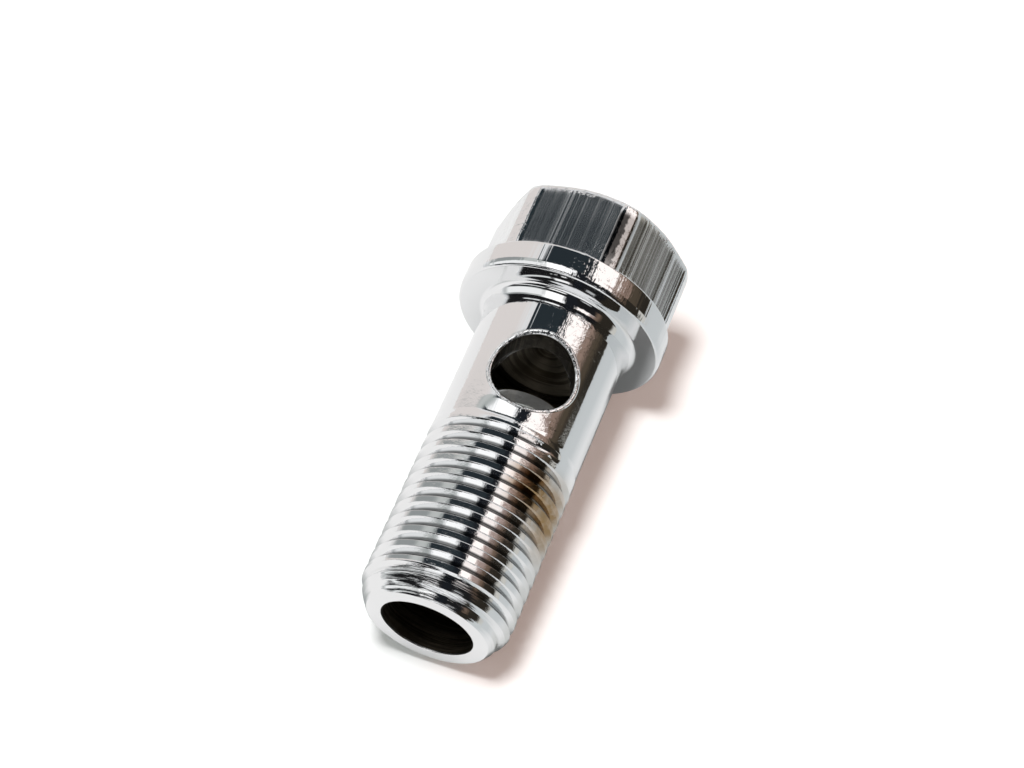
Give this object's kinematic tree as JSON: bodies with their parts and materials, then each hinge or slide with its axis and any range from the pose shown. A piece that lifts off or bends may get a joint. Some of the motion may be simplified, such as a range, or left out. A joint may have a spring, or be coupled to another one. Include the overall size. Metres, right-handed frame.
{
  "type": "banjo bolt",
  "caption": "Hollow hexagon-head bolt with a flange and a cross-drilled shank, that clamps a banjo fitting and lets fluid through.",
  "frame": {"origin": "centre of the head's top face, on which the bolt stands", "axes": "+Z along the bolt from the head to the threaded tip, X along the cross hole, Y square to both"},
  "size_m": [0.0198, 0.0196, 0.0426],
  "materials": {
    "bright_chrome": "polished chrome plate on steel"
  },
  "bodies": {
    "root": {"banjo_bolt": "bright_chrome"}
  },
  "joints": []
}
